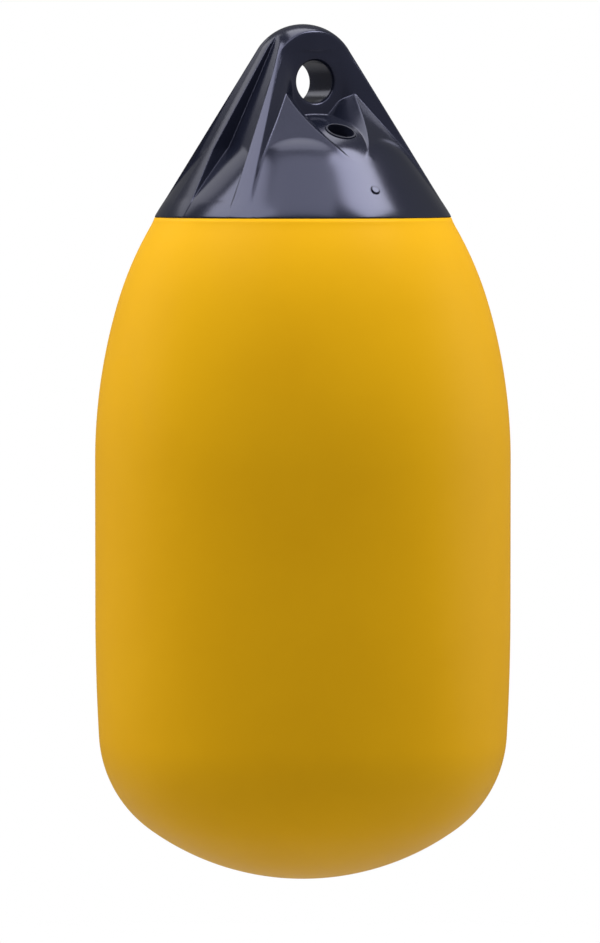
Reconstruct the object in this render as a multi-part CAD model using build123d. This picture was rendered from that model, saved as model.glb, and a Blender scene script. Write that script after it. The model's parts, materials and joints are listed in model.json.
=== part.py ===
from build123d import *
from math import acos, asin, cos, degrees, radians, sin, tan
import os

# Inflatable vinyl buoy: an air-filled yellow body under a solid moulded ropehold
# All sizes are in millimetres and all angles in degrees
# Frame: origin at the centre of the rope eye, +Z up the buoy's axis, the eye's bore along Y
# The front, where the valve is, faces -Y

# Overall sizes
overall_length = 596.0
head_top = 40.1
seam_level = -94.2

# Inflated body, from its bottom up
body_radius = 145.0
body_wall = 2.7
bottom_radius = 183.0
corner_radius = 85.0
belly_radius = 1560.0
belly_taper = 3.2
shoulder_radius = 389.0
shoulder_turn = 16.3
neck_curve_radius = 246.0
neck_lip_height = 3.4
crown_edge_radius = 92.0
crown_top_radius = 20.0
crown_rise = 44.0

# Ropehold: dome, cone of the ribs' outer edges, and the skirt that shows between them
rim_radius = 104.4
rim_round = 1.4
dome_radius = 37.4
cone_half_angle = 31.6
skirt_half_angle = 34.9
skirt_top_radius = 72.0
throat_level = -21.2
bond_gap = 0.3

# Rope eye
eye_radius = 14.6
eye_lip = 3.2
plate_half_thickness = 18.15
plate_flat_half_width = 18.4

# Ribs and the block that they stand on
core_half_width = 39.2
core_draft = 26.15
rib_rear_angle = 60.0
centre_rib_half = 4.5
centre_rib_foot_half = 12.8
centre_rib_flare_level = -47.0

# Cheeks beside the plate: level, distance across and forward to the root, angle of the outer edge
cheek_stations = [
    (22.0, 22.6, 17.9, 56.7),
    (-6.3, 26.3, 23.8, 54.4),
    (-94.2, 79.0, 67.9, 52.0),
]

# Flat floor of the pockets beside each centre rib
pocket_floor_across = 61.6
pocket_floor_level = -45.7
pocket_floor_slope = 48.0

# Horns beside the rope channel
horn_peak = (23.5, 26.0, -6.3)
horn_turn = 31.7
horn_slope = 39.7
horn_set_in = 0.4

# Rope channel: distance forward, then half width and level at its foot and at its crest
channel_stations = [
    (14.0, 8.9, -21.2, 28.5, -6.9),
    (23.5, 13.5, -24.4, 26.0, -6.3),
    (39.6, 16.3, -29.9, 25.2, -21.3),
    (60.2, 16.2, -40.6, 18.9, -38.0),
    (80.0, 10.1, -54.0, 10.5, -53.5),
]
channel_root_depth = 5.0

# Valve, sunk in the channel's floor
valve_distance = 52.2
valve_seat_radius = 10.6
valve_seat_depth = 17.0
valve_opening_radius = 9.4
valve_lip = 0.2
valve_gap = 0.1
screw_depth = 7.0
screw_length = 8.0
slot_width = 2.4
slot_depth = 3.0

# Moulded pip on the skirt
pip_radius = 3.1
pip_height = 1.2
pip_level = -75.0
pip_turn = 2.8

# Sizes that follow from those above
body_bottom = head_top - overall_length
dome_centre = head_top - dome_radius
cone_tangent = tan(radians(cone_half_angle))
skirt_tangent = tan(radians(skirt_half_angle))
neck_level = seam_level - neck_lip_height
reach = 2 * rim_radius


def envelope_radius(level):
    """Radius of the ribs' outer cone at a level."""
    return dome_radius / cos(radians(cone_half_angle)) + (dome_centre - level) * cone_tangent


def revolved(lines):
    """Solid of revolution about Z of a closed outline drawn in XZ."""
    return revolve(Plane.XZ * make_face(lines), Axis.Z)


def turned(points):
    """Solid of revolution about Z of a polygon, given as radius and level."""
    return revolved(Polyline(*points, close=True))


def half_space(point, normal):
    """Large block behind a plane through a point, on the side away from its normal."""
    face = Plane(origin=point, z_dir=normal)
    return face * Box(4 * reach, 4 * reach, reach, align=(Align.CENTER, Align.CENTER, Align.MAX))


def prism(points, low, high):
    """Upright prism of a plan outline between two levels."""
    return extrude(Plane.XY.offset(low) * make_face(Polyline(*points, close=True)), high - low)


def both_sides(shape):
    """A front feature with its mirror image at the back."""
    return shape + mirror(shape, Plane.XZ)


# Inflated body

def body_outline(inset, crown_top):
    """Half outline of the body as its edges from the bottom up, set in from its skin by a distance."""
    taper = radians(belly_taper)
    belly_drop = belly_radius * (1 - cos(taper))
    corner_centre = body_radius - belly_drop - corner_radius * cos(taper)
    bottom_turn = asin(corner_centre / (bottom_radius - corner_radius))
    turn_1 = radians(shoulder_turn)
    neck_radius = rim_radius + 0.1
    drop = body_radius - neck_radius - shoulder_radius * (1 - cos(turn_1))
    turn_2 = acos(cos(turn_1) - drop / neck_curve_radius)
    rise = shoulder_radius * sin(turn_1) + neck_curve_radius * (sin(turn_2) - sin(turn_1))

    base = JernArc((0, body_bottom + inset), (1, 0), bottom_radius - inset, degrees(bottom_turn))
    corner = JernArc(base @ 1, base % 1, corner_radius - inset, 90 - belly_taper - degrees(bottom_turn))
    belly = JernArc(corner @ 1, corner % 1, belly_radius - inset, belly_taper)
    side = Line(belly @ 1, (body_radius - inset, neck_level - rise))
    shoulder = JernArc(side @ 1, (0, 1), shoulder_radius - inset, shoulder_turn)
    neck = JernArc(shoulder @ 1, shoulder % 1, neck_curve_radius - inset, degrees(turn_2) - shoulder_turn)
    lip = Line(neck @ 1, (neck_radius - inset, seam_level - inset - 0.1))
    ledge = Line(lip @ 1, (crown_edge_radius - inset, seam_level - inset - 0.1))
    crown = Line(ledge @ 1, (crown_top_radius, crown_top))
    top = Line(crown @ 1, (0, crown_top))
    axis = Line(top @ 1, base @ 0)
    return [base, corner, belly, side, shoulder, neck, lip, ledge, crown, top, axis]


def make_body():
    """Air-filled skin under a crown that the ropehold is bonded to, its cavity cut in plain chords."""
    crown_top = seam_level + crown_rise - bond_gap
    skin = revolved(body_outline(0, crown_top))
    corners = []
    for edge in body_outline(body_wall, crown_top - body_wall):
        corners.append(edge @ 0)
        if edge.geom_type == GeomType.CIRCLE:
            corners.append(edge @ 0.5)
    return skin - turned([(corner.X, corner.Y) for corner in corners])


# Ropehold

def make_envelope():
    """Dome and cone that hold every rib's outer edge."""
    turn = 90 - cone_half_angle
    dome = JernArc((0, head_top), (1, 0), dome_radius, -turn)
    foot = Line(dome @ 1, (envelope_radius(seam_level), seam_level))
    base = Line(foot @ 1, (0, seam_level))
    return revolved(dome + foot + base + Line(base @ 1, (0, head_top)))


def make_skirt():
    """Shoulder and skirt between the ribs, with the flat floors of the pockets."""
    skirt_top = seam_level + (rim_radius - skirt_top_radius) / skirt_tangent
    throat = TangentArc((0, throat_level), (skirt_top_radius, skirt_top), tangent=(1, 0))
    round_top = (rim_radius - rim_round * skirt_tangent, seam_level + rim_round)
    flank = Line(throat @ 1, round_top)
    edge = Line(flank @ 1, (rim_radius - rim_round * skirt_tangent / 2, seam_level))
    base = Line(edge @ 1, (0, seam_level))
    skirt = revolved(throat + flank + edge + base + Line(base @ 1, (0, throat_level)))
    slope = radians(pocket_floor_slope)
    floor = half_space((pocket_floor_across, 0, pocket_floor_level), (sin(slope), 0, cos(slope)))
    return skirt & floor & mirror(floor, Plane.YZ)


def make_skirt_cone():
    """The skirt's cone carried up to its point and set in a little, which trims the horns' tips."""
    radius = rim_radius - horn_set_in
    cone = Cone(radius, 0, radius / skirt_tangent, align=(Align.CENTER, Align.CENTER, Align.MIN))
    return Pos(0, 0, seam_level) * cone


def make_recess():
    """Air in front of the eye plate, between its flat face and the cheeks beside it."""
    flat = prism([(-plate_flat_half_width, -plate_half_thickness), (plate_flat_half_width, -plate_half_thickness),
                  (plate_flat_half_width, -2 * reach), (-plate_flat_half_width, -2 * reach)],
                 seam_level, head_top + 1)
    sections = []
    for level, root_across, root_forward, angle in cheek_stations:
        root = Vector(root_across, -root_forward)
        edge = Vector(0, -envelope_radius(level)).rotate(Axis.Z, angle)
        outer = root + (edge - root) * 2.0
        sections.append((level, [
            (plate_flat_half_width, -plate_half_thickness), (root.X, root.Y), (outer.X, outer.Y),
            (outer.X, -2 * reach), (plate_flat_half_width, -2 * reach)]))
    top, top_points = sections[0]
    faces = [Plane.XY.offset(level) * make_face(Polyline(*points, close=True)) for level, points in sections]
    cheek = loft(faces, ruled=True) + prism(top_points, top, head_top + 1)
    return flat + cheek + mirror(cheek, Plane.YZ)


def make_horn():
    """Sloping shoulder on the +X side of the rope channel, before the channel is cut."""
    turn, slope = radians(horn_turn), radians(horn_slope)
    normal = (sin(turn) * cos(slope), -cos(turn) * cos(slope), sin(slope))
    forward, across, level = horn_peak
    block = half_space((across, -forward, level), normal)
    side = reach * tan(radians(rib_rear_angle))
    quarter = prism([(0, 0), (side, -reach), (0, -reach)], seam_level + 1, head_top)
    return block & quarter


def make_channel():
    """Air in the rope channel between the horns."""
    sections = []
    for forward, foot_half, foot_level, crest_half, crest_level in channel_stations:
        lean = (crest_half - foot_half) / (crest_level - foot_level)
        root_half = foot_half - lean * channel_root_depth
        top_half = foot_half + lean * (head_top - foot_level)
        root_level = foot_level - channel_root_depth
        outline = [(-root_half, root_level), (root_half, root_level), (top_half, head_top), (-top_half, head_top)]
        sections.append(Plane.XZ.offset(forward) * make_face(Polyline(*outline, close=True)))
    return loft(sections, ruled=True)


def make_upper(envelope):
    """Eye plate, its core block and the ribs, cut out of the envelope."""
    lean = tan(radians(core_draft))
    top_half = core_half_width - lean * (head_top + 1)
    foot_half = core_half_width - lean * (seam_level + 1)
    core_face = make_face(Polyline(
        (-top_half, head_top + 1), (top_half, head_top + 1),
        (foot_half, seam_level + 1), (-foot_half, seam_level + 1), close=True))
    core = extrude(Plane.XZ * core_face, reach, both=True)
    side = reach * tan(radians(rib_rear_angle))
    wedge = prism([(0, 0), (side, -reach), (-side, -reach)], seam_level + 1, head_top + 1)
    rib_face = make_face(Polyline(
        (-centre_rib_half, head_top + 1), (centre_rib_half, head_top + 1),
        (centre_rib_half, centre_rib_flare_level), (centre_rib_foot_half, seam_level + 10),
        (-centre_rib_foot_half, seam_level + 10), (-centre_rib_half, centre_rib_flare_level), close=True))
    centre_rib = extrude(Plane.YZ * rib_face, reach, both=True)
    recess = make_recess()
    return envelope & (core + both_sides(wedge) + centre_rib) - both_sides(recess)


def valve_frame():
    """Plane in the valve's mouth, its Z along the valve's axis and out of the ropehold."""
    skirt_top = seam_level + (rim_radius - skirt_top_radius) / skirt_tangent
    fall = throat_level - skirt_top
    throat_radius = (skirt_top_radius**2 + fall**2) / (2 * fall)
    lean = asin(valve_distance / throat_radius)
    level = throat_level - throat_radius * (1 - cos(lean))
    return Plane(origin=(0, -valve_distance, level), x_dir=(1, 0, 0), z_dir=(0, -sin(lean), cos(lean)))


def down_from(depth, radius, length):
    """Cylinder on the valve's axis that starts at a depth below the mouth."""
    start = valve_frame().offset(-depth)
    return start * Cylinder(radius, length, align=(Align.CENTER, Align.CENTER, Align.MAX))


def make_pip():
    """Small round button moulded on the skirt."""
    radius = rim_radius - (pip_level - seam_level) * skirt_tangent
    turn, slope = radians(pip_turn), radians(skirt_half_angle)
    out = Vector(sin(turn), -cos(turn), 0)
    normal = out * cos(slope) + Vector(0, 0, sin(slope))
    base = Plane(origin=out * radius + Vector(0, 0, pip_level), z_dir=normal)
    return base * Cylinder(pip_radius, 2 * pip_height)


def make_ropehold():
    """Solid moulding with the eye, its ribs, the rope channels and the valve's seat."""
    envelope = make_envelope()
    horn = make_horn()
    horns = both_sides((horn + mirror(horn, Plane.YZ)) & envelope & make_skirt_cone())
    cap = make_skirt() + make_upper(envelope) + (horns - both_sides(make_channel())) - crown_void()
    eye = Cylinder(eye_radius, 2 * reach, rotation=(90, 0, 0))
    cap -= eye
    lips = cap.edges().filter_by(GeomType.CIRCLE).filter_by(lambda edge: abs(edge.radius - eye_radius) < 0.01)
    cap = fillet(lips, eye_lip)
    cap -= down_from(-reach / 4, valve_seat_radius, reach / 4 + valve_seat_depth)
    return cap + make_pip()


def crown_void():
    """Space under the ropehold that the body's crown fills."""
    crown_top = seam_level + crown_rise
    return turned([(0, seam_level), (crown_edge_radius, seam_level), (crown_top_radius, crown_top), (0, crown_top)])


# Valve

def make_valve_insert():
    """Bushing that lines the valve's seat, open at its mouth."""
    outer_radius = valve_seat_radius - valve_gap
    sleeve = down_from(-valve_lip, outer_radius, valve_seat_depth + valve_lip - valve_gap)
    return sleeve - down_from(-2 * valve_lip, valve_opening_radius, screw_depth + screw_length + 2 * valve_lip)


def make_valve_screw():
    """Slotted plug that closes the valve."""
    plug = down_from(screw_depth, valve_opening_radius - valve_gap, screw_length - valve_gap)
    slot_base = valve_frame().offset(-screw_depth)
    return plug - slot_base * Box(4 * valve_opening_radius, slot_width, 2 * slot_depth)


os.makedirs("parts", exist_ok=True)
export_step(make_body(), "parts/body.step")
export_step(make_ropehold(), "parts/ropehold.step")
export_step(make_valve_insert(), "parts/valve_insert.step")
export_step(make_valve_screw(), "parts/valve_screw.step")
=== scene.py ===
"""Looks of an inflatable vinyl buoy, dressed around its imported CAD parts."""
from __future__ import annotations

import json
import logging
import math
from dataclasses import dataclass
from enum import Enum
from typing import Sequence

import bmesh
import bpy
from mathutils import Matrix, Vector

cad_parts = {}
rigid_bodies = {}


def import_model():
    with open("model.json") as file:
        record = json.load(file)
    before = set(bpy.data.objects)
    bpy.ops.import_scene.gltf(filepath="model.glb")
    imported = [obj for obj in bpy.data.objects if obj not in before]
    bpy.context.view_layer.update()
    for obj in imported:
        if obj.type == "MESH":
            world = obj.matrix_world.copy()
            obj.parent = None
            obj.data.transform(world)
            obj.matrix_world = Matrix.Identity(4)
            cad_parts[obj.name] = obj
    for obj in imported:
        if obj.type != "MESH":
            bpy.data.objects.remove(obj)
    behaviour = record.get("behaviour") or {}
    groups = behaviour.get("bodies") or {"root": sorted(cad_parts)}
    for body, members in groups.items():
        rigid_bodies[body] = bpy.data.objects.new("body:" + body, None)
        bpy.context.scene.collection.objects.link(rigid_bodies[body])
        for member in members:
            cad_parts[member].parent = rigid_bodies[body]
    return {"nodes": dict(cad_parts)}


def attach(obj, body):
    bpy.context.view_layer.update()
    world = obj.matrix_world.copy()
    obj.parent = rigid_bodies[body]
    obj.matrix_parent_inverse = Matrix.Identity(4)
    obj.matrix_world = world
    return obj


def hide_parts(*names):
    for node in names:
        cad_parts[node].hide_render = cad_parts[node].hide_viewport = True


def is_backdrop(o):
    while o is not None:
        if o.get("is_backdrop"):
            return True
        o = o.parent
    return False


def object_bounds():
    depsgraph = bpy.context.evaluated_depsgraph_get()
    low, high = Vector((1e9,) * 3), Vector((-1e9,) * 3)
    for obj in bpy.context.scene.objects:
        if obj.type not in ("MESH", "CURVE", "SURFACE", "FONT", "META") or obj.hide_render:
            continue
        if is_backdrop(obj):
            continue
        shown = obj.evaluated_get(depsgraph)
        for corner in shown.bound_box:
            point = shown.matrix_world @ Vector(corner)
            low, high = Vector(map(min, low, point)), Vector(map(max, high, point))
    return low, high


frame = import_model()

logging.basicConfig(level=logging.INFO, format="%(message)s")
log = logging.getLogger("buoy")

# Metres in a millimetre, how far from a point a field's slope is read, and the gap that welding closes
MM = 0.001
PROBE = 0.00004
WELD = 1e-6
ROOT = "root"


class Graph:
    """A node tree with one method that adds any node."""

    def __init__(self, tree: bpy.types.NodeTree) -> None:
        """Wrap a tree.

        Args:
            tree: The shader or geometry node tree.
        """
        self.tree = tree

    def node(self, kind: str, settings: dict | None = None, inputs: dict | None = None) -> bpy.types.Node:
        """Add a node, set its settings and then its sockets.

        Args:
            kind: The node's type.
            settings: Attribute names and values, set first.
            inputs: Socket names or numbers, with values, sockets or quantities.

        Returns:
            The new node.
        """
        node = self.tree.nodes.new(kind)
        for name, value in (settings or {}).items():
            setattr(node, name, value)
        for key, value in (inputs or {}).items():
            socket = node.inputs[key]
            if isinstance(value, Quantity):
                value = value.socket
            if isinstance(value, bpy.types.NodeSocket):
                self.tree.links.new(value, socket)
            else:
                socket.default_value = value
        return node

    def quantity(self, socket: bpy.types.NodeSocket) -> Quantity:
        """Wrap an output socket as a number that Python operators work on."""
        return Quantity(self, socket)

    def ramp(self, value: Quantity, stops: Sequence[tuple[float, float]]) -> Quantity:
        """Straight-line interpolation through points, held level past both ends.

        Args:
            value: Where to read the curve.
            stops: Points as (value, result), in rising order.

        Returns:
            The interpolated quantity.
        """
        result: Quantity | float = stops[0][1]
        for (low, start), (high, end) in zip(stops, stops[1:]):
            share = (value - low) / (high - low)
            result = share.clamped() * (end - start) + result
        return result


class Quantity:
    """A number that varies over a surface or a space, held by an output socket."""

    def __init__(self, graph: Graph, socket: bpy.types.NodeSocket) -> None:
        """Wrap a socket.

        Args:
            graph: The graph that the socket is in.
            socket: The output socket.
        """
        self.graph = graph
        self.socket = socket

    def maths(self, operation: str, *values: Quantity | float) -> Quantity:
        """Add one Math node.

        Args:
            operation: The Math node's operation.
            values: Its inputs, in order.

        Returns:
            The node's result.
        """
        node = self.graph.node("ShaderNodeMath", {"operation": operation}, dict(enumerate(values)))
        return Quantity(self.graph, node.outputs[0])

    def __add__(self, other: Quantity | float) -> Quantity:
        """Sum."""
        return self.maths("ADD", self, other)

    __radd__ = __add__

    def __sub__(self, other: Quantity | float) -> Quantity:
        """Difference."""
        return self.maths("SUBTRACT", self, other)

    def __rsub__(self, other: float) -> Quantity:
        """Difference from a plain number."""
        return self.maths("SUBTRACT", other, self)

    def __mul__(self, other: Quantity | float) -> Quantity:
        """Product."""
        return self.maths("MULTIPLY", self, other)

    __rmul__ = __mul__

    def __truediv__(self, other: Quantity | float) -> Quantity:
        """Quotient."""
        return self.maths("DIVIDE", self, other)

    def __neg__(self) -> Quantity:
        """Opposite."""
        return self.maths("MULTIPLY", self, -1.0)

    def __abs__(self) -> Quantity:
        """Size without sign."""
        return self.maths("ABSOLUTE", self)

    def __gt__(self, other: Quantity | float) -> Quantity:
        """1 where this is greater, else 0."""
        return self.maths("GREATER_THAN", self, other)

    def root(self) -> Quantity:
        """Square root."""
        return self.maths("SQRT", self)

    def sine(self) -> Quantity:
        """Sine of an angle in radians."""
        return self.maths("SINE", self)

    def cosine(self) -> Quantity:
        """Cosine of an angle in radians."""
        return self.maths("COSINE", self)

    def clamped(self) -> Quantity:
        """Held between 0 and 1."""
        return self.maths("MINIMUM", self.maths("MAXIMUM", self, 0.0), 1.0)

    def union(self, other: Quantity | float, blend: float = 0.0) -> Quantity:
        """Lesser of two distances, with their meeting filleted.

        Args:
            other: The other distance.
            blend: How far the fillet reaches.

        Returns:
            The distance to both solids together.
        """
        if blend:
            return self.maths("SMOOTH_MIN", self, other, blend)
        return self.maths("MINIMUM", self, other)

    def common(self, other: Quantity | float, blend: float = 0.0) -> Quantity:
        """Greater of two distances, with their meeting rounded.

        Args:
            other: The other distance.
            blend: How far the rounding reaches.

        Returns:
            The distance to what the two solids share.
        """
        if blend:
            return self.maths("SMOOTH_MAX", self, other, blend)
        return self.maths("MAXIMUM", self, other)

    def where(self, other: Quantity | float, mask: Quantity) -> Quantity:
        """This where the mask is 1, and the other where it is 0."""
        return self * mask + other * (1.0 - mask)


def length(*parts: Quantity) -> Quantity:
    """Length of a vector.

    Args:
        parts: The vector's parts.

    Returns:
        The root of the sum of their squares.
    """
    total = parts[0] * parts[0]
    for part in parts[1:]:
        total = total + part * part
    return total.root()


def plain_mesh(source: bpy.types.Object, name: str) -> bpy.types.Object:
    """Turn an object with modifiers into a plain mesh object, and remove the source.

    Args:
        source: The object with live modifiers.
        name: Name of the plain object.

    Returns:
        The plain mesh object, at the origin.
    """
    depsgraph = bpy.context.evaluated_depsgraph_get()
    mesh = bpy.data.meshes.new_from_object(source.evaluated_get(depsgraph), depsgraph=depsgraph)
    mesh.name = name
    bpy.data.objects.remove(source)
    piece = bpy.data.objects.new(name, mesh)
    bpy.context.collection.objects.link(piece)
    return piece


class GeometryTree(Graph):
    """A geometry node tree with named inputs, run once on an object."""

    def __init__(self, name: str) -> None:
        """Start an empty tree that takes and gives a geometry.

        Args:
            name: The tree's name.
        """
        super().__init__(bpy.data.node_groups.new(name, "GeometryNodeTree"))
        self.ids: dict[str, str] = {}
        self.add_input("Geometry", "NodeSocketGeometry")
        self.tree.interface.new_socket("Geometry", in_out="OUTPUT", socket_type="NodeSocketGeometry")
        self.entry = self.tree.nodes.new("NodeGroupInput")
        self.exit = self.tree.nodes.new("NodeGroupOutput")

    def add_input(self, name: str, kind: str) -> None:
        """Declare a named input and keep its identifier."""
        socket = self.tree.interface.new_socket(name, in_out="INPUT", socket_type=kind)
        self.ids[name] = socket.identifier

    def finish(self, geometry: bpy.types.NodeSocket, smooth: bool = True) -> None:
        """End the tree in Realize Instances and Set Material.

        Args:
            geometry: The geometry that the tree has made.
            smooth: Whether its faces still have to be set smooth.
        """
        if smooth:
            geometry = self.node("GeometryNodeSetShadeSmooth", inputs={"Geometry": geometry}).outputs[0]
        real = self.node("GeometryNodeRealizeInstances", inputs={"Geometry": geometry})
        dressed = self.node("GeometryNodeSetMaterial", inputs={
            "Geometry": real.outputs[0], "Material": self.entry.outputs["Material"]})
        self.tree.links.new(dressed.outputs[0], self.exit.inputs[0])

    def run(self, holder: bpy.types.Object, values: dict[str, object], name: str) -> bpy.types.Object:
        """Apply the tree to an object and keep the result as a plain mesh.

        Args:
            holder: The object that carries the modifier.
            values: Value of each named input.
            name: Name of the finished piece.

        Returns:
            The plain mesh object.
        """
        modifier = holder.modifiers.new(self.tree.name, "NODES")
        modifier.node_group = self.tree
        for key, value in values.items():
            modifier[self.ids[key]] = value
        return plain_mesh(holder, name)


class DistanceGroup(Graph):
    """A node group that turns a place into a signed distance in millimetres."""

    def __init__(self, name: str) -> None:
        """Start the group.

        Args:
            name: The group's name.
        """
        super().__init__(bpy.data.node_groups.new(name, "GeometryNodeTree"))
        self.tree.interface.new_socket("Place", in_out="INPUT", socket_type="NodeSocketVector")
        self.tree.interface.new_socket("Distance", in_out="OUTPUT", socket_type="NodeSocketFloat")
        self.exit = self.tree.nodes.new("NodeGroupOutput")
        entry = self.tree.nodes.new("NodeGroupInput")
        split = self.node("ShaderNodeSeparateXYZ", inputs={0: entry.outputs[0]})
        self.x, self.y, self.z = (self.quantity(split.outputs[axis]) / MM for axis in "XYZ")

    def give(self, distance: Quantity) -> None:
        """End the group with its result."""
        self.tree.links.new(distance.socket, self.exit.inputs[0])

    def used(self, graph: Graph, place: bpy.types.NodeSocket) -> Quantity:
        """The distance at a place in another tree."""
        node = graph.node("GeometryNodeGroup", {"node_tree": self.tree}, {0: place})
        return graph.quantity(node.outputs[0])

    def direction(self, graph: Graph, place: bpy.types.NodeSocket) -> bpy.types.NodeSocket:
        """Unit vector along which the distance grows fastest, from four places nearby.

        Args:
            graph: The tree to work in.
            place: The place.

        Returns:
            The vector's socket.
        """
        total = None
        for corner in ((1, -1, -1), (-1, -1, 1), (-1, 1, -1), (1, 1, 1)):
            offset = tuple(part * PROBE for part in corner)
            near = graph.node("ShaderNodeVectorMath", {"operation": "ADD"}, {0: place, 1: offset})
            part = graph.node("ShaderNodeVectorMath", {"operation": "SCALE"}, {
                0: corner, "Scale": self.used(graph, near.outputs[0])})
            if total is None:
                total = part.outputs[0]
            else:
                total = graph.node("ShaderNodeVectorMath", {"operation": "ADD"}, {
                    0: total, 1: part.outputs[0]}).outputs[0]
        return graph.node("ShaderNodeVectorMath", {"operation": "NORMALIZE"}, {0: total}).outputs[0]


@dataclass(frozen=True)
class Vinyl:
    """Moulded flexible vinyl with a fine grain and faint handling marks, its lengths in metres."""

    name: str
    colour: tuple[float, float, float]
    shade: tuple[float, float, float]
    roughness: float
    roughness_swing: float
    grain_size: float
    grain_depth: float
    cloud_size: float
    gloss: float
    gloss_tint: tuple[float, float, float]
    grain_detail: float = 2.0
    grain_roughness: float = 0.6
    grain_strength: float = 0.6
    cloud_detail: float = 3.0
    cloud_start: float = 0.35
    cloud_contrast: float = 2.4

    def build(self) -> bpy.types.Material:
        """Make the material.

        Returns:
            A material whose colour, roughness and bump vary over the surface.
        """
        material = bpy.data.materials.new(self.name)
        material.use_nodes = True
        graph = Graph(material.node_tree)
        surface = material.node_tree.nodes["Principled BSDF"]
        place = graph.node("ShaderNodeTexCoord").outputs["Object"]
        clouds = graph.node("ShaderNodeTexNoise", inputs={
            "Vector": place, "Scale": 1.0 / self.cloud_size, "Detail": self.cloud_detail})
        grain = graph.node("ShaderNodeTexNoise", inputs={
            "Vector": place, "Scale": 1.0 / self.grain_size, "Detail": self.grain_detail,
            "Roughness": self.grain_roughness})
        cloud = graph.quantity(clouds.outputs[0])
        share = ((cloud - self.cloud_start) * self.cloud_contrast).clamped()
        tint = graph.node("ShaderNodeMix", {"data_type": "RGBA"}, {
            "Factor": share, "A": (*self.colour, 1.0), "B": (*self.shade, 1.0)})
        mixed = next(socket for socket in tint.outputs if socket.type == "RGBA")
        graph.tree.links.new(mixed, surface.inputs["Base Color"])
        rough = cloud * self.roughness_swing + (self.roughness - 0.5 * self.roughness_swing)
        graph.tree.links.new(rough.socket, surface.inputs["Roughness"])
        bump = graph.node("ShaderNodeBump", inputs={
            "Height": grain.outputs[0], "Strength": self.grain_strength, "Distance": self.grain_depth})
        graph.tree.links.new(bump.outputs[0], surface.inputs["Normal"])
        surface.inputs["Specular IOR Level"].default_value = self.gloss
        surface.inputs["Specular Tint"].default_value = (*self.gloss_tint, 1.0)
        return material


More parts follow.
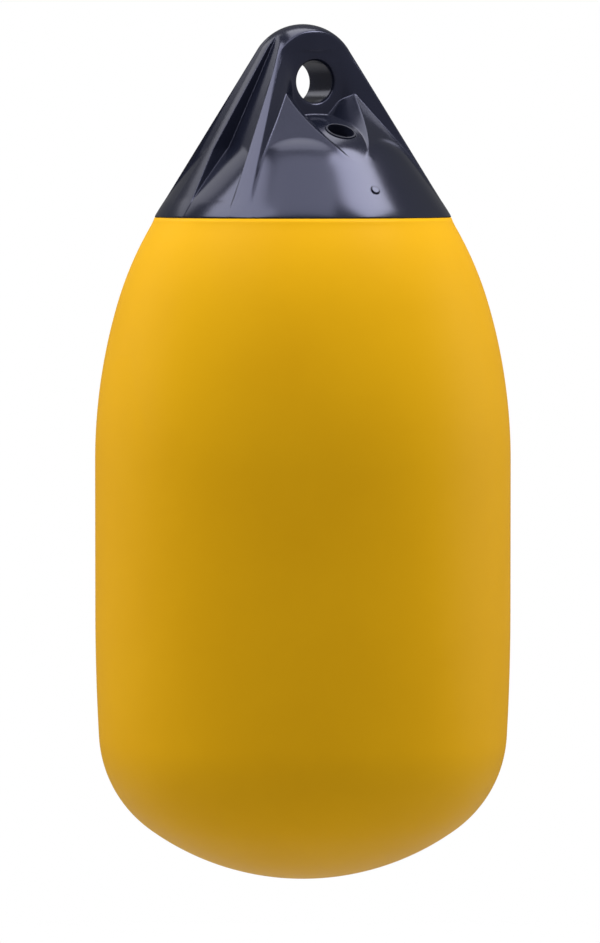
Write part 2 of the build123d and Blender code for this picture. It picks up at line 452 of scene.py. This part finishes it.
@dataclass
class Skin:
    """The inflated body, turned from one outline of tangent arcs, in millimetres and degrees."""

    finish: Vinyl
    radius: float = 145.0
    bottom: float = -555.9
    bottom_radius: float = 183.0
    corner_radius: float = 85.0
    belly_radius: float = 1560.0
    belly_taper: float = 3.2
    shoulder_radius: float = 389.0
    shoulder_turn: float = 16.3
    neck_curve_radius: float = 246.0
    neck_radius: float = 104.5
    neck_level: float = -97.6
    seam_level: float = -94.3
    lip_round: float = 1.2
    arc_step: float = 3.0
    fewest_steps: int = 4
    around: int = 256
    along: int = 200

    def arc(self, points: list[tuple[float, float]], heading: float, radius: float, turn: float) -> float:
        """Continue an outline with an arc that starts in a heading.

        Args:
            points: The outline so far, as (radius, level).
            heading: Direction of travel in radians, 0 outward and a quarter turn upward.
            radius: The arc's radius.
            turn: How far it turns left, in radians.

        Returns:
            The heading at the arc's end.
        """
        x, z = points[-1]
        steps = max(self.fewest_steps, round(abs(turn) * radius / self.arc_step))
        centre_x = x - radius * math.sin(heading)
        centre_z = z + radius * math.cos(heading)
        for step in range(1, steps + 1):
            angle = heading + turn * step / steps
            points.append((centre_x + radius * math.sin(angle), centre_z - radius * math.cos(angle)))
        return heading + turn

    def outline(self) -> list[tuple[float, float]]:
        """Half outline of the skin, from its bottom pole to the middle of its top.

        Returns:
            Points as (radius, level) in millimetres.
        """
        taper = math.radians(self.belly_taper)
        belly_drop = self.belly_radius * (1 - math.cos(taper))
        corner_centre = self.radius - belly_drop - self.corner_radius * math.cos(taper)
        bottom_turn = math.asin(corner_centre / (self.bottom_radius - self.corner_radius))
        turn_1 = math.radians(self.shoulder_turn)
        drop = self.radius - self.neck_radius - self.shoulder_radius * (1 - math.cos(turn_1))
        turn_2 = math.acos(math.cos(turn_1) - drop / self.neck_curve_radius)
        rise = self.shoulder_radius * math.sin(turn_1)
        rise += self.neck_curve_radius * (math.sin(turn_2) - math.sin(turn_1))

        points = [(0.0, self.bottom)]
        heading = self.arc(points, 0.0, self.bottom_radius, bottom_turn)
        heading = self.arc(points, heading, self.corner_radius, math.pi / 2 - taper - bottom_turn)
        heading = self.arc(points, heading, self.belly_radius, taper)
        points.append((self.radius, self.neck_level - rise))
        heading = self.arc(points, heading, self.shoulder_radius, turn_1)
        self.arc(points, heading, self.neck_curve_radius, turn_2 - turn_1)
        points.append((self.neck_radius, self.seam_level - self.lip_round))
        self.arc(points, math.pi / 2, self.lip_round, math.pi / 2)
        points.append((0.0, self.seam_level))
        return points

    def lathe(self) -> GeometryTree:
        """Tree that turns its curve about Z into a closed skin.

        Returns:
            The tree, with inputs Around, Along and Material.
        """
        tree = GeometryTree("lathe")
        tree.add_input("Around", "NodeSocketInt")
        tree.add_input("Along", "NodeSocketInt")
        tree.add_input("Material", "NodeSocketMaterial")
        grid = tree.node("GeometryNodeMeshGrid", inputs={
            "Size X": 1.0, "Size Y": 1.0,
            "Vertices X": tree.entry.outputs["Around"], "Vertices Y": tree.entry.outputs["Along"]})
        place = tree.node("GeometryNodeInputPosition")
        split = tree.node("ShaderNodeSeparateXYZ", inputs={0: place.outputs[0]})
        turn = (tree.quantity(split.outputs["X"]) + 0.5) * math.tau
        share = tree.quantity(split.outputs["Y"]) + 0.5
        sample = tree.node("GeometryNodeSampleCurve", {"mode": "FACTOR", "use_all_curves": True}, {
            "Curves": tree.entry.outputs["Geometry"], "Factor": share})
        at = tree.node("ShaderNodeSeparateXYZ", inputs={0: sample.outputs["Position"]})
        radius = tree.quantity(at.outputs["X"])
        spot = tree.node("ShaderNodeCombineXYZ", inputs={
            "X": radius * turn.cosine(), "Y": radius * turn.sine(), "Z": at.outputs["Z"]})
        moved = tree.node("GeometryNodeSetPosition", inputs={
            "Geometry": grid.outputs["Mesh"], "Position": spot.outputs[0]})
        merged = tree.node("GeometryNodeMergeByDistance", inputs={
            "Geometry": moved.outputs[0], "Distance": WELD})
        tree.finish(merged.outputs[0])
        return tree

    def build(self) -> bpy.types.Object:
        """Make the skin in place of its CAD node.

        Returns:
            The finished piece.
        """
        points = self.outline()
        curve = bpy.data.curves.new("outline", "CURVE")
        curve.dimensions = "3D"
        spline = curve.splines.new("POLY")
        spline.points.add(len(points) - 1)
        for point, (radius, level) in zip(spline.points, points):
            point.co = (radius * MM, 0.0, level * MM, 1.0)
        holder = bpy.data.objects.new("outline", curve)
        bpy.context.collection.objects.link(holder)
        piece = self.lathe().run(holder, {
            "Around": self.around, "Along": self.along, "Material": self.finish.build()}, "body_skin")
        face_outward(piece)
        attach(piece, ROOT)
        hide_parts("body")
        log.info("%s: %d faces", piece.name, len(piece.data.polygons))
        return piece


def face_outward(piece: bpy.types.Object) -> None:
    """Recalculate a closed mesh's normals so that they point outwards.

    Args:
        piece: The object that holds the mesh.
    """
    shape = bmesh.new()
    shape.from_mesh(piece.data)
    bmesh.ops.recalc_face_normals(shape, faces=shape.faces)
    shape.to_mesh(piece.data)
    shape.free()


@dataclass
class Ropehold:
    """The moulded head with the rope eye, as a field of distances that is meshed once.

    Sizes are in millimetres and degrees. Levels run up from the middle of the eye. Across is measured
    from the middle plane, and forward from the middle of the eye plate, alike on both sides.
    """

    finish: Vinyl

    # Head, skirt and seam
    head_top: float = 40.1
    dome_radius: float = 37.4
    cone_half_angle: float = 31.6
    rim_radius: float = 104.4
    seam_level: float = -94.2
    skirt_half_angle: float = 34.9
    skirt_top_radius: float = 72.0
    skirt_blend: float = 4.0
    throat_level: float = -21.2

    # Eye and its plate, and the cheeks as level, root across and forward, and turn of the outer edge
    eye_radius: float = 14.6
    eye_lip: float = 5.0
    plate_half: float = 18.15
    plate_flat_half: float = 18.4
    cheeks: tuple[tuple[float, tuple[float, float], float], ...] = (
        (-94.2, (79.0, 67.9), 52.0),
        (-6.3, (26.3, 23.8), 54.4),
        (22.0, (22.6, 17.9), 56.7),
    )

    # Core block, ribs and the pockets' floor on each flank
    core_half: float = 39.2
    core_draft: float = 26.15
    rib_rear_angle: float = 60.0
    centre_rib_half: float = 4.5
    centre_rib_foot_half: float = 12.8
    centre_rib_flare_level: float = -47.0
    centre_rib_foot_rise: float = 10.0
    pocket_floor_start: tuple[float, float] = (61.6, -45.7)
    pocket_floor_slope: float = 48.0
    pocket_floor_reach: float = 34.0
    pocket_floor_set_in: float = 1.4
    flank_start: float = 0.80
    flank_margin: float = 0.04

    # Horns, their peak given forward, across and up, and how the rope channel widens from its half width
    horn_peak: tuple[float, float, float] = (23.5, 26.0, -6.3)
    horn_turn: float = 31.7
    horn_slope: float = 39.7
    channel_half: float = 29.24
    channel_flare: float = 0.928
    channel_lean: float = 0.865
    channel_bend: float = 0.00890
    channel_twist: float = 0.02071

    # Valve's seat and the moulded pip
    valve_distance: float = 52.2
    valve_seat_radius: float = 10.6
    valve_seat_depth: float = 17.0
    valve_seat_clear: float = 60.0
    pip_radius: float = 3.1
    pip_height: float = 1.2
    pip_root: float = 2.0
    pip_level: float = -75.0
    pip_turn: float = 2.8

    # Roundings of outer edges, and fillets of inner ones
    rib_round: float = 0.8
    edge_round: float = 0.8
    brow_round: float = 3.2
    brow_levels: tuple[float, float] = (-20.0, 18.0)
    cheek_round: float = 2.0
    ridge_round: float = 1.4
    rim_round: float = 1.4
    seat_round: float = 0.8
    pip_round: float = 1.0
    crease_fillet: float = 2.5
    inner_fillet: float = 0.8
    root_fillet: float = 1.0
    foot_fillet: float = 1.0
    pip_fillet: float = 0.8

    # Meshing of the field, whose density falls by a share of one for each millimetre outwards
    voxel: float = 0.6
    margin: float = 3.0
    surface_density: float = 0.5
    density_fall: float = 0.125
    triangles_kept: int = 190_000

    def envelope(self, around: Quantity, level: Quantity) -> Quantity:
        """Distance to the dome and cone that hold every rib's outer edge.

        Args:
            around: Distance from the axis.
            level: Height.

        Returns:
            The distance.
        """
        angle = math.radians(self.cone_half_angle)
        centre = self.head_top - self.dome_radius
        cone = around * math.cos(angle) + (level - centre) * math.sin(angle) - self.dome_radius
        dome = length(around, level - centre) - self.dome_radius
        over = (level - centre) * math.cos(angle) - around * math.sin(angle)
        return dome.where(cone, over > 0.0)

    def cone_radius(self, level: float) -> float:
        """Radius of the outer cone.

        Args:
            level: Height at which it is wanted.

        Returns:
            The radius.
        """
        angle = math.radians(self.cone_half_angle)
        centre = self.head_top - self.dome_radius
        return self.dome_radius / math.cos(angle) + (centre - level) * math.tan(angle)

    def plate(self, graph: Graph, across: Quantity, forward: Quantity, level: Quantity) -> Quantity:
        """Distance to the eye plate's flat face and the cheeks that flare out beside it.

        Args:
            graph: The tree to work in.
            across: Distance from the middle plane.
            forward: Distance from the middle of the plate.
            level: Height.

        Returns:
            The distance.
        """
        crease = (self.plate_flat_half, self.plate_half)
        root_x = graph.ramp(level, [(height, root[0]) for height, root, _ in self.cheeks])
        root_y = graph.ramp(level, [(height, root[1]) for height, root, _ in self.cheeks])
        edges = []
        for height, _, angle in self.cheeks:
            turn, radius = math.radians(angle), self.cone_radius(height)
            edges.append((height, radius * math.sin(turn), radius * math.cos(turn)))
        edge_x = graph.ramp(level, [(edge[0], edge[1]) for edge in edges])
        edge_y = graph.ramp(level, [(edge[0], edge[2]) for edge in edges])

        def wall(start: tuple, end: tuple) -> Quantity:
            """Distance in front of a wall through two points of the plan."""
            run, rise = end[0] - start[0], end[1] - start[1]
            return ((forward - start[1]) * run - (across - start[0]) * rise) / length(run, rise)

        inner = wall(crease, (root_x, root_y))
        outer = wall((root_x, root_y), (edge_x, edge_y))
        return (forward - self.plate_half).union(inner.common(outer, self.cheek_round), self.crease_fillet)

    def block(self, across: Quantity, forward: Quantity, level: Quantity) -> Quantity:
        """Distance to the core block and the ribs, before the envelope trims them.

        Args:
            across: Distance from the middle plane.
            forward: Distance from the middle of the plate.
            level: Height.

        Returns:
            The distance.
        """
        draft, rear = math.radians(self.core_draft), math.radians(self.rib_rear_angle)
        core = across * math.cos(draft) + level * math.sin(draft) - self.core_half * math.cos(draft)
        wedge = across * math.cos(rear) - forward * math.sin(rear)
        flare_run = self.centre_rib_flare_level - (self.seam_level + self.centre_rib_foot_rise)
        flare = ((self.centre_rib_flare_level - level) / flare_run).clamped()
        rib = forward - (flare * (self.centre_rib_foot_half - self.centre_rib_half) + self.centre_rib_half)
        return core.union(wedge, self.inner_fillet).union(rib, self.inner_fillet)

    def skirt_cone(self, around: Quantity, level: Quantity) -> Quantity:
        """Distance to the skirt's cone, carried up to its point."""
        slope = math.radians(self.skirt_half_angle)
        return (around - self.rim_radius) * math.cos(slope) + (level - self.seam_level) * math.sin(slope)

    def throat_radius(self) -> float:
        """Radius of the round shoulder above the skirt.

        Returns:
            The radius of the sphere through the skirt's top and the throat.
        """
        slope = math.radians(self.skirt_half_angle)
        skirt_top = self.seam_level + (self.rim_radius - self.skirt_top_radius) / math.tan(slope)
        fall = self.throat_level - skirt_top
        return (self.skirt_top_radius**2 + fall**2) / (2 * fall)

    def skirt(self, horns: Quantity, across: Quantity, around: Quantity, level: Quantity) -> Quantity:
        """Distance to the shoulder, its horns and the skirt, with the floor of each flank's pockets.

        Args:
            horns: Distance to the horns that stand on the shoulder.
            across: Distance from the middle plane.
            around: Distance from the axis.
            level: Height.

        Returns:
            The distance. The pockets' floor starts straight and becomes round towards the rim.
        """
        radius = self.throat_radius()
        throat = length(around, level - (self.throat_level - radius)) - radius
        throat = throat.union(horns, self.root_fillet)
        start_across, start_level = self.pocket_floor_start
        flank = ((across / around - self.flank_start) / self.flank_margin).clamped()
        roundness = ((around - start_across) / self.pocket_floor_reach).clamped() * flank
        out = (around - self.pocket_floor_set_in).where(across, roundness)
        fall = math.radians(self.pocket_floor_slope)
        floor = (out - start_across) * math.sin(fall) + (level - start_level) * math.cos(fall)
        shoulder = self.skirt_cone(around, level).common(throat, self.skirt_blend)
        return shoulder.common(floor, self.inner_fillet)

    def horn(self, across: Quantity, forward: Quantity, level: Quantity) -> Quantity:
        """Distance to the horns on each side of the rope channel.

        Args:
            across: Distance from the middle plane.
            forward: Distance from the middle of the plate.
            level: Height.

        Returns:
            The distance. The channel's wall leans with the level, and flares with its reach from the plate.
        """
        turn, slope = math.radians(self.horn_turn), math.radians(self.horn_slope)
        peak_forward, peak_across, peak_level = self.horn_peak
        face = (across - peak_across) * (math.sin(turn) * math.cos(slope))
        face = face + (forward - peak_forward) * (math.cos(turn) * math.cos(slope))
        face = face + (level - peak_level) * math.sin(slope)
        reach = forward - self.plate_half
        flare = reach * self.channel_bend + level * self.channel_twist + self.channel_flare
        wall = flare * reach + level * self.channel_lean + self.channel_half - across
        wall = wall / math.hypot(1.0, self.channel_lean, self.channel_flare)
        rear = math.radians(self.rib_rear_angle)
        wedge = across * math.cos(rear) - forward * math.sin(rear)
        return face.common(wall, self.ridge_round).common(wedge)

    def valve_axes(self) -> tuple[Vector, Vector]:
        """Place the valve on the shoulder.

        Returns:
            The middle of its mouth and the outward direction of its axis.
        """
        lean = math.asin(self.valve_distance / self.throat_radius())
        drop = self.throat_radius() * (1 - math.cos(lean))
        mouth = Vector((0, -self.valve_distance, self.throat_level - drop))
        return mouth, Vector((0, -math.sin(lean), math.cos(lean)))

    def cylinder(self, place: Sequence[Quantity], base: Vector, axis: Vector, radius: float,
                 low: float, high: float, blend: float = 0.0) -> Quantity:
        """Distance to a round bar on any axis.

        Args:
            place: The point, as its three parts.
            base: A point on the axis.
            axis: The axis's direction.
            radius: The bar's radius.
            low: Where the bar starts along the axis.
            high: Where it ends.
            blend: Rounding of its end edges.

        Returns:
            The distance.
        """
        offset = [part - base[i] for i, part in enumerate(place)]
        along = offset[0] * axis[0] + offset[1] * axis[1] + offset[2] * axis[2]
        rest = [part - along * axis[i] for i, part in enumerate(offset)]
        side = length(*rest) - radius
        middle, half = (low + high) / 2, (high - low) / 2
        return side.common(abs(along - middle) - half, blend)

    def distance_group(self) -> DistanceGroup:
        """Node group that gives the distance to the whole ropehold at any point.

        Returns:
            The group.
        """
        group = DistanceGroup("ropehold_distance")
        x, y, level = group.x, group.y, group.z
        across, forward, around = abs(x), abs(y), length(x, y)
        envelope = self.envelope(around, level)
        low, high = self.brow_levels
        edge = group.ramp(level, [(low, self.edge_round), (high, self.brow_round)])
        upper = envelope.common(self.block(across, forward, level), self.rib_round)
        upper = upper.common(self.plate(group, across, forward, level), edge)
        horns = self.horn(across, forward, level).common(envelope)
        solid = upper.union(self.skirt(horns, across, around, level), self.foot_fillet)
        solid = solid.common(self.seam_level - level, self.rim_round)
        solid = solid.common(self.eye_radius - length(x, level), self.eye_lip)
        solid = solid.common(-self.valve_seat((x, y, level)), self.seat_round)
        group.give(solid.union(self.pip((x, y, level)), self.pip_fillet))
        return group

    def valve_seat(self, place: Sequence[Quantity]) -> Quantity:
        """Distance to the round bar that cuts the valve's seat."""
        mouth, axis = self.valve_axes()
        return self.cylinder(
            place, mouth, axis, self.valve_seat_radius, -self.valve_seat_depth, self.valve_seat_clear)

    def pip(self, place: Sequence[Quantity]) -> Quantity:
        """Distance to the pip that stands on the skirt.

        Args:
            place: The point, as its three parts.

        Returns:
            The distance.
        """
        turn, slope = math.radians(self.pip_turn), math.radians(self.skirt_half_angle)
        radius = self.rim_radius - (self.pip_level - self.seam_level) * math.tan(slope)
        out = Vector((math.sin(turn), -math.cos(turn), 0))
        normal = out * math.cos(slope) + Vector((0, 0, math.sin(slope)))
        base = out * radius + Vector((0, 0, self.pip_level))
        return self.cylinder(
            place, base, normal, self.pip_radius, -self.pip_root, self.pip_height, self.pip_round)

    def volume_tree(self, group: DistanceGroup) -> GeometryTree:
        """Tree that meshes the ropehold's distance field.

        Args:
            group: The distance group.

        Returns:
            The tree, with inputs Voxels Across, Voxels Up and Material.
        """
        tree = GeometryTree("ropehold_volume")
        tree.add_input("Voxels Across", "NodeSocketInt")
        tree.add_input("Voxels Up", "NodeSocketInt")
        tree.add_input("Material", "NodeSocketMaterial")
        place = tree.node("GeometryNodeInputPosition").outputs[0]
        density = (self.surface_density - group.used(tree, place) * self.density_fall).clamped()
        reach, margin = (self.rim_radius + self.margin) * MM, self.margin * MM
        cube = tree.node("GeometryNodeVolumeCube", inputs={
            "Density": density, "Background": 0.0,
            "Min": (-reach, -reach, self.seam_level * MM - margin),
            "Max": (reach, reach, self.head_top * MM + margin),
            "Resolution X": tree.entry.outputs["Voxels Across"],
            "Resolution Y": tree.entry.outputs["Voxels Across"],
            "Resolution Z": tree.entry.outputs["Voxels Up"]})
        mesh = tree.node("GeometryNodeVolumeToMesh", inputs={
            "Volume": cube.outputs[0], "Threshold": self.surface_density, "Adaptivity": 0.0})
        tree.finish(self.settled(tree, group, mesh.outputs[0])[0])
        return tree

    def settled(self, tree: GeometryTree, group: DistanceGroup,
                mesh: bpy.types.NodeSocket) -> tuple[bpy.types.NodeSocket, bpy.types.NodeSocket]:
        """Move a mesh's points onto the field's surface.

        Args:
            tree: The tree that holds the mesh.
            group: The distance group.
            mesh: The mesh's socket.

        Returns:
            The settled mesh, and the surface's outward direction at each point.
        """
        place = tree.node("GeometryNodeInputPosition").outputs[0]
        away = group.direction(tree, place)
        step = tree.node("ShaderNodeVectorMath", {"operation": "SCALE"}, {
            0: away, "Scale": group.used(tree, place) * -MM})
        moved = tree.node("GeometryNodeSetPosition", inputs={"Geometry": mesh, "Offset": step.outputs[0]})
        return moved.outputs[0], away

    def settling_tree(self, group: DistanceGroup) -> GeometryTree:
        """Tree that settles a thinned mesh and gives it the field's own normals.

        Args:
            group: The distance group.

        Returns:
            The tree, with the input Material.
        """
        tree = GeometryTree("ropehold_settle")
        tree.add_input("Material", "NodeSocketMaterial")
        mesh, away = self.settled(tree, group, tree.entry.outputs["Geometry"])
        smooth = tree.node("GeometryNodeSetShadeSmooth", inputs={"Geometry": mesh})
        facing = tree.node("GeometryNodeSetMeshNormal", {"mode": "FREE", "domain": "POINT"}, {
            "Mesh": smooth.outputs[0], "Custom Normal": away})
        tree.finish(facing.outputs[0], smooth=False)
        return tree

    def build(self) -> bpy.types.Object:
        """Make the ropehold in place of its CAD node.

        Returns:
            The finished piece.
        """
        holder = bpy.data.objects.new("holder", bpy.data.meshes.new("holder"))
        bpy.context.collection.objects.link(holder)
        material, group = self.finish.build(), self.distance_group()
        across = round(2 * (self.rim_radius + self.margin) / self.voxel)
        up = round((self.head_top - self.seam_level + 2 * self.margin) / self.voxel)
        fine = self.volume_tree(group).run(holder, {
            "Voxels Across": across, "Voxels Up": up, "Material": material}, "ropehold_fine")
        triangles = sum(len(face.vertices) - 2 for face in fine.data.polygons)
        thin = fine.modifiers.new("thin", "DECIMATE")
        thin.ratio = min(1.0, self.triangles_kept / triangles)
        piece = self.settling_tree(group).run(fine, {"Material": material}, "ropehold_moulding")
        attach(piece, ROOT)
        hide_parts("ropehold")
        log.info("%s: %d faces from %d", piece.name, len(piece.data.polygons), triangles)
        return piece


@dataclass
class Valve:
    """The valve's CAD nodes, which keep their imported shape."""

    finish: Vinyl
    nodes: tuple[str, ...] = ("valve_insert", "valve_screw")

    def build(self) -> None:
        """Give the nodes their finish."""
        material = self.finish.build()
        for name in self.nodes:
            materials = frame["nodes"][name].data.materials
            materials.clear()
            materials.append(material)
            log.info("%s: finished", name)


class LampKind(Enum):
    """What a lamp is there for."""

    CARD = "seen in the vinyl's shine"
    FILL = "light alone, kept out of the shine"


@dataclass(frozen=True)
class SoftBox:
    """A rectangular lamp that faces the object, placed as seen from the camera, in metres and degrees."""

    name: str
    azimuth: float
    elevation: float
    distance: float
    width: float
    height: float
    radiance: float
    kind: LampKind = LampKind.CARD
    aim_level: float = -0.05

    def build(self, right: Vector, away: Vector) -> None:
        """Hang the lamp.

        Args:
            right: Direction to the right of the picture.
            away: Level direction from the camera through the object, where the azimuth is 0.
        """
        data = bpy.data.lights.new(self.name, "AREA")
        data.shape = "RECTANGLE"
        data.size, data.size_y = self.width, self.height
        data.energy = self.radiance * math.pi * self.width * self.height
        lamp = bpy.data.objects.new(self.name, data)
        bpy.context.collection.objects.link(lamp)
        turn, lift = math.radians(self.azimuth), math.radians(self.elevation)
        level = right * math.sin(turn) + away * math.cos(turn)
        back = level * math.cos(lift) + Vector((0, 0, math.sin(lift)))
        side = Vector((0, 0, 1)).cross(level)
        axes = Matrix((side, back.cross(side), back)).transposed()
        place = back * self.distance + Vector((0, 0, self.aim_level))
        lamp.matrix_world = Matrix.Translation(place) @ axes.to_4x4()
        lamp.visible_glossy = self.kind is LampKind.CARD
        log.info("%s: %s", self.name, self.kind.value)


@dataclass
class Studio:
    """Pale floor, white paper behind, soft boxes, and the camera at the photograph's angle.

    Lengths are in metres, except the sensor's width in millimetres, and angles are in degrees.
    """

    azimuth: float = -30.0
    elevation: float = 2.8
    distance: float = 4.5
    picture_width: int = 600
    picture_height: int = 943
    axis_column: float = 302.9
    eye_row: float = 82.5
    millimetres_per_pixel: float = 0.698
    sensor: float = 36.0
    floor_drop: float = 0.3
    floor_reach: float = 2.4
    floor_sides: int = 64
    floor_tone: float = 0.5
    floor_roughness: float = 0.9
    floor_lift: float = 0.7
    floor_fade_start: float = 0.35
    floor_fade_reach: float = 0.6
    room_light: float = 0.37
    dark_wall: float = 0.14
    light_wall: float = 0.38
    light_wall_azimuth: float = 125.0
    wall_blend: float = 0.6
    backdrop_half_angle: float = 8.0
    backdrop_edge: float = 0.01

    def right(self) -> Vector:
        """Direction to the right of the picture."""
        turn = math.radians(self.azimuth)
        return Vector((math.cos(turn), math.sin(turn), 0))

    def away(self) -> Vector:
        """Level direction from the camera through the object."""
        turn = math.radians(self.azimuth)
        return Vector((-math.sin(turn), math.cos(turn), 0))

    def back(self) -> Vector:
        """Direction from the object to the camera."""
        tilt = math.radians(self.elevation)
        return self.away() * -math.cos(tilt) + Vector((0, 0, math.sin(tilt)))

    def camera(self) -> bpy.types.Object:
        """Make the camera that frames the object as the photograph does.

        Returns:
            The camera.
        """
        step = self.millimetres_per_pixel * MM
        target = self.right() * ((self.picture_width / 2 - self.axis_column) * step)
        target += Vector((0, 0, (self.eye_row - self.picture_height / 2) * step))
        data = bpy.data.cameras.new("camera")
        data.sensor_width = self.sensor
        data.lens = self.sensor * self.distance / (self.picture_height * step)
        camera = bpy.data.objects.new("camera", data)
        bpy.context.collection.objects.link(camera)
        camera.location = target + self.back() * self.distance
        camera.rotation_euler = self.back().to_track_quat("Z", "Y").to_euler()
        bpy.context.scene.camera = camera
        return camera

    def floor_paper(self) -> bpy.types.Material:
        """Make the floor's pale finish, which thins out towards the rim.

        Returns:
            The material.
        """
        material = bpy.data.materials.new("floor_paper")
        material.use_nodes = True
        graph = Graph(material.node_tree)
        surface = material.node_tree.nodes["Principled BSDF"]
        surface.inputs["Base Color"].default_value = (*[self.floor_tone] * 3, 1.0)
        surface.inputs["Roughness"].default_value = self.floor_roughness
        path = graph.node("ShaderNodeLightPath")
        place = graph.node("ShaderNodeSeparateXYZ", inputs={
            0: graph.node("ShaderNodeTexCoord").outputs["Object"]})
        spread = length(*(graph.quantity(place.outputs[axis]) for axis in "XY")) / self.floor_reach
        glow = graph.node("ShaderNodeEmission", inputs={"Color": (1, 1, 1, 1), "Strength": self.floor_lift})
        none = graph.node("ShaderNodeEmission", inputs={"Strength": 0.0})
        lift = graph.node("ShaderNodeMixShader", inputs={
            0: path.outputs["Is Camera Ray"], 1: none.outputs[0], 2: glow.outputs[0]})
        lit = graph.node("ShaderNodeAddShader", inputs={0: surface.outputs[0], 1: lift.outputs[0]})
        clear = graph.node("ShaderNodeBsdfTransparent")
        fade = ((spread - self.floor_fade_start) / self.floor_fade_reach).clamped()
        mix = graph.node("ShaderNodeMixShader", inputs={0: fade, 1: lit.outputs[0], 2: clear.outputs[0]})
        graph.tree.links.new(mix.outputs[0], material.node_tree.nodes["Material Output"].inputs[0])
        return material

    def floor(self, level: float) -> None:
        """Lay a round pale floor that fades into the white around it.

        Args:
            level: The floor's level.
        """
        turns = [math.tau * side / self.floor_sides for side in range(self.floor_sides)]
        reach = self.floor_reach
        rim = [(reach * math.cos(turn), reach * math.sin(turn), level) for turn in turns]
        mesh = bpy.data.meshes.new("floor")
        mesh.from_pydata(rim, [], [tuple(range(self.floor_sides))])
        mesh.materials.append(self.floor_paper())
        floor = bpy.data.objects.new("floor", mesh)
        bpy.context.collection.objects.link(floor)
        floor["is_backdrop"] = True

    def toward(self, graph: Graph, direction: Vector) -> Quantity:
        """Cosine of the angle between a ray of the world and a direction.

        Args:
            graph: The world's graph.
            direction: The direction, of unit length.

        Returns:
            The cosine.
        """
        node = graph.node("ShaderNodeVectorMath", {"operation": "DOT_PRODUCT"}, {
            0: graph.node("ShaderNodeTexCoord").outputs["Generated"], 1: tuple(direction)})
        return graph.quantity(node.outputs["Value"])

    def world(self) -> None:
        """Surround the stage with a dim room, in front of a backdrop that the camera sees as white.

        The vinyl's shine shows the backdrop behind the object, and the room's darker walls elsewhere.
        """
        world = bpy.data.worlds.new("world")
        bpy.context.scene.world = world
        world.use_nodes = True
        graph = Graph(world.node_tree)
        world.node_tree.nodes.clear()
        path = graph.node("ShaderNodeLightPath")
        camera, glass, shine = (
            graph.quantity(path.outputs[f"Is {kind} Ray"]) for kind in ("Camera", "Transmission", "Glossy"))
        turn = math.radians(self.light_wall_azimuth)
        bright_side = self.right() * math.sin(turn) + self.away() * math.cos(turn)
        share = (self.toward(graph, bright_side) / self.wall_blend).clamped()
        walls = share * (self.light_wall - self.dark_wall) + self.dark_wall
        edge = math.cos(math.radians(self.backdrop_half_angle))
        backdrop = ((self.toward(graph, self.away()) - edge) / self.backdrop_edge).clamped()
        room = walls.where(1.0, 1.0 - backdrop).where(self.room_light, shine)
        strength = room.where(1.0, 1.0 - (camera + glass).clamped())
        light = graph.node("ShaderNodeBackground", inputs={"Color": (1, 1, 1, 1), "Strength": strength})
        graph.node("ShaderNodeOutputWorld", inputs={0: light.outputs[0]})

    def build(self, low: float) -> None:
        """Set the stage.

        Args:
            low: Level of the object's lowest point.
        """
        bpy.context.scene.view_settings.view_transform = "Standard"
        self.camera()
        self.floor(low - self.floor_drop)
        self.world()
        for box in BOXES:
            box.build(self.right(), self.away())


# Name, azimuth, elevation, distance, width, height, radiance
BOXES = (
    SoftBox("upper_left", -110.0, 51.0, 1.6, 1.25, 0.70, 4.6),
    SoftBox("upper_right", 100.0, 56.5, 1.6, 0.76, 0.74, 8.4),
    SoftBox("overhead_front", 180.0, 65.5, 1.7, 1.15, 0.55, 2.5),
    SoftBox("overhead", 180.0, 79.5, 1.7, 1.15, 0.27, 1.1),
    SoftBox("overhead_rear", 0.0, 73.0, 1.7, 1.0, 1.35, 2.6),
    SoftBox("left_card", -48.0, 37.0, 1.6, 0.75, 0.66, 1.2),
    SoftBox("left_fill", -75.0, 5.0, 1.5, 1.0, 1.2, 1.9, LampKind.FILL),
    SoftBox("right_fill", 75.0, 3.0, 1.5, 1.0, 1.2, 1.6, LampKind.FILL),
)
YELLOW = Vinyl(
    name="yellow_vinyl", colour=(0.88, 0.465, 0.006), shade=(0.84, 0.435, 0.005), roughness=0.42,
    roughness_swing=0.08, grain_size=0.0016, grain_depth=0.00004, cloud_size=0.09,
    gloss=0.1, gloss_tint=(1.0, 0.85, 0.5))
NAVY = Vinyl(
    name="navy_vinyl", colour=(0.008, 0.0095, 0.019), shade=(0.010, 0.0115, 0.022), roughness=0.19,
    roughness_swing=0.03, grain_size=0.0012, grain_depth=0.000004, cloud_size=0.05,
    gloss=0.6, gloss_tint=(0.66, 0.68, 1.0))
VALVE_PLASTIC = Vinyl(
    name="valve_plastic", colour=(0.010, 0.012, 0.024), shade=(0.013, 0.015, 0.028), roughness=0.3,
    roughness_swing=0.1, grain_size=0.0008, grain_depth=0.00001, cloud_size=0.01,
    gloss=0.5, gloss_tint=(0.85, 0.85, 1.0))


def main() -> None:
    """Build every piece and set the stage."""
    cad_low, cad_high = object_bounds()
    Studio().build(cad_low[2])
    Skin(YELLOW).build()
    Ropehold(NAVY).build()
    Valve(VALVE_PLASTIC).build()


if __name__ == "__main__":
    main()
